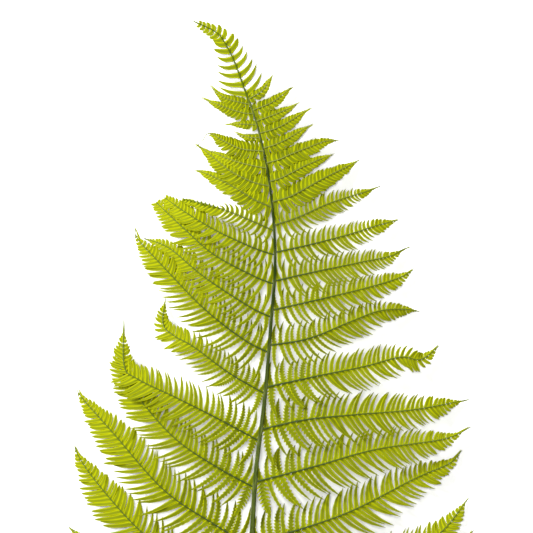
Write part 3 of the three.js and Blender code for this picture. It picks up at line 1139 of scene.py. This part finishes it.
@dataclass(frozen=True)
class RibSkin(Finish):
    """The smooth skin of a rib: grey-green and firm near the stalk, thinner and yellower near its tip."""

    name: str = "fern_rib"
    roughness: float = 0.45
    shine: float = 0.15
    near: str = "#2f401a"
    far: str = "#5a6a18"
    upper: str = "#6c7430"
    streak_mm: float = 0.5
    streak_share: float = 0.3
    far_range: Range = (0.4, 1.2)
    relief: float = 0.3
    relief_mm: float = 0.1

    def pattern(self, add: Adder) -> dict:
        """Draws the ribs' colours and relief.

        Args:
            add: adds a node to the material.

        Returns:
            What the shader's inputs are fed with.
        """
        share, pale = (add("ShaderNodeAttribute", attribute_name=name).outputs["Fac"]
                       for name in ("share", "pale"))
        spot = add("ShaderNodeTexCoord").outputs["Object"]
        streak = add("ShaderNodeTexNoise", {
            "Vector": spot, "Scale": 1 / (self.streak_mm * MM), "Detail": 2.0})
        uneven = add("ShaderNodeMath", (streak, self.streak_share, share), operation="MULTIPLY_ADD")
        far = add("ShaderNodeMapRange", (uneven, *self.far_range))
        return {"Base Color": layered(add, self.near, (far, self.far), (pale, self.upper)), "Height": streak}


@dataclass(frozen=True)
class StalkSkin(Finish):
    """The stalk's skin: hard, nearly matt, with fine darker streaks along it and pale rings at the pinnae.

    streaks is how many fit round it, and streak_mm is how long one is. middle_range and upper_range are the
    stretches of the stalk, in its y, over which those colours come in.
    """

    name: str = "fern_stalk"
    roughness: float = 0.5
    shine: float = 0.02
    light: str = "#505c26"
    dark: str = "#28340e"
    middle: str = "#182702"
    upper: str = "#48570c"
    joint: str = "#7d8250"
    streaks: float = 26
    streak_mm: float = 5.5
    light_range: Range = (0.35, 0.65)
    middle_range: Range = (400, 560)
    upper_range: Range = (690, 770)
    stretch_share: float = 0.9
    joint_share: float = 0.5
    relief: float = 0.4
    relief_mm: float = 0.2

    def pattern(self, add: Adder) -> dict:
        """Draws the stalk's colours, streaks and relief.

        Args:
            add: adds a node to the material.

        Returns:
            What the shader's inputs are fed with.
        """
        along, around, joint = (add("ShaderNodeAttribute", attribute_name=name).outputs["Fac"]
                                for name in ("along", "around", "joint"))
        # Streaks are read off a cylinder of radius 1, so that they meet where a turn closes.
        arc = 2 * math.pi / self.streaks
        angle = add("ShaderNodeMath", (around, 2 * math.pi), operation="MULTIPLY")
        sine, cosine = (add("ShaderNodeMath", (angle,), operation=name) for name in ("SINE", "COSINE"))
        slow = add("ShaderNodeMath", (along, arc / self.streak_mm), operation="MULTIPLY")
        spot = add("ShaderNodeCombineXYZ", (sine, cosine, slow))
        streak = add("ShaderNodeTexNoise", {"Vector": spot, "Scale": 1 / arc, "Detail": 3.0})
        light = add("ShaderNodeMapRange", (streak, *self.light_range))
        middle, upper = (add("ShaderNodeMapRange", (along, *stretch, 0.0, self.stretch_share))
                         for stretch in (self.middle_range, self.upper_range))
        ring = add("ShaderNodeMath", (joint, self.joint_share), operation="MULTIPLY")
        return {
            "Base Color": layered(
                add, self.dark, (light, self.light), (middle, self.middle), (upper, self.upper),
                (ring, self.joint)),
            "Height": streak,
        }


@dataclass(frozen=True)
class CutPith(Finish):
    """The fresh cut through the stalk: moist pale pith speckled with darker strands."""

    name: str = "cut_pith"
    roughness: float = 0.6
    pith: str = "#c9c98f"
    strand: str = "#6b6a38"
    strand_mm: float = 0.8
    pith_range: Range = (0.15, 0.4)

    def pattern(self, add: Adder) -> dict:
        """Draws the cut's strands.

        Args:
            add: adds a node to the material.

        Returns:
            What the shader's inputs are fed with.
        """
        spot = add("ShaderNodeTexCoord").outputs["Object"]
        strands = add("ShaderNodeTexVoronoi", {"Vector": spot, "Scale": 1 / (self.strand_mm * MM)})
        pith = add("ShaderNodeMapRange", (strands, *self.pith_range))
        return {"Base Color": layered(add, self.strand, (pith, self.pith))}


@dataclass(frozen=True)
class FloorPaper(Finish):
    """Thick matt white paper, which gives the floor a soft even tone."""

    name: str = "floor_paper"
    roughness: float = 0.9
    colour: str = "#f7f7f5"

    def pattern(self, add: Adder) -> dict:
        """Gives the paper one colour all over."""
        return {"Base Color": linear_colour(self.colour)}


@dataclass(frozen=True)
class Lamp:
    """A square soft light: its name, place, width and power in watts."""

    name: str
    place: tuple[float, float, float]
    size: float
    power: float

    def hang(self, aim: Plan) -> None:
        """Hangs the lamp so that it shines on a point of the floor.

        Args:
            aim: the point.
        """
        light = bpy.data.lights.new(self.name, "AREA")
        light.size = self.size * MM
        light.energy = self.power
        lamp = bpy.data.objects.new(self.name, light)
        lamp.location = Vector(self.place) * MM
        ray = Vector((*aim, 0)) * MM - lamp.location
        lamp.rotation_euler = ray.to_track_quat("-Z", "Y").to_euler()
        bpy.context.scene.collection.objects.link(lamp)


@dataclass
class Studio:
    """The pale floor, the soft light and the camera above the frond."""

    centre: Plan = (26.5, 583.5)
    view_width: float = 533
    mean_height: float = 18
    lens: float = 200
    sensor: float = 36
    farthest: float = 20000
    floor_size: float = 16000
    key: Lamp = Lamp("key", place=(-80, 680, 2600), size=500, power=61)
    side: Lamp = Lamp("side", place=(-1500, 1700, 1600), size=450, power=98)
    sky_strength: float = 0.22

    def floor(self) -> None:
        """Lays the floor."""
        half = self.floor_size / 2
        x, y = self.centre
        corners = [((x + a * half) * MM, (y + b * half) * MM, 0)
                   for a, b in ((-1, -1), (1, -1), (1, 1), (-1, 1))]
        mesh = bpy.data.meshes.new("floor")
        mesh.from_pydata(corners, [], [(0, 1, 2, 3)])
        mesh.materials.append(FloorPaper().material())
        placed(mesh)

    def light(self) -> None:
        """Hangs a soft key light beside the camera and one to the side, and fills in with a pale sky."""
        for lamp in (self.key, self.side):
            lamp.hang(self.centre)
        sky = bpy.data.worlds.new("sky")
        sky.use_nodes = True
        feed(sky.node_tree.nodes["Background"], {"Color": (1, 1, 1, 1), "Strength": self.sky_strength})
        bpy.context.scene.world = sky
        bpy.context.scene.view_settings.view_transform = "Standard"

    def camera(self) -> None:
        """Hangs the camera over the frond, looking straight down."""
        lens = bpy.data.cameras.new("camera")
        lens.lens = self.lens
        lens.sensor_width = self.sensor
        lens.clip_end = self.farthest * MM
        camera = bpy.data.objects.new("camera", lens)
        distance = self.view_width * self.lens / self.sensor
        camera.location = Vector((*self.centre, distance + self.mean_height)) * MM
        bpy.context.scene.collection.objects.link(camera)
        bpy.context.scene.camera = camera


def main() -> None:
    """Builds the studio and the frond, piece by piece."""
    studio = Studio()
    studio.camera()
    studio.light()
    studio.floor()
    courses = [(course, side) for side, table in zip(Side, (LEFT_PINNAE, RIGHT_PINNAE)) for course in table]
    stalk = Stalk(joints=tuple((course.leaves, side) for course, side in courses))
    pinnae = [Pinna(course, side, stalk) for course, side in courses]
    rows = {f"leaflets_{side.name.lower()}": [leaf for pinna in pinnae if pinna.side is side
                                              for leaf in pinna.leaflets()] for side in Side}
    rows["leaflets_tip"] = FrondTip(stalk).leaflets()
    shapes = LeafletShapes().collection()
    tree = leaflet_tree()
    blade = LeafBlade().material()
    pieces = [stalk.build(), Ribs(pinnae).build()]
    for seed, (name, leaflets) in enumerate(rows.items(), start=1):
        pieces.append(Leaflets(name, leaflets, seed).build(tree, shapes, blade))
    for shape in list(shapes.objects):
        bpy.data.objects.remove(shape)
    bpy.data.collections.remove(shapes)
    for piece in pieces:
        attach(piece, "root")
        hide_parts(CAD_NODE)
        log.info("%s: %d faces", piece.name, len(piece.data.polygons))


if __name__ == "__main__":
    logging.basicConfig(level=logging.INFO, format="%(name)s: %(message)s")
    main()
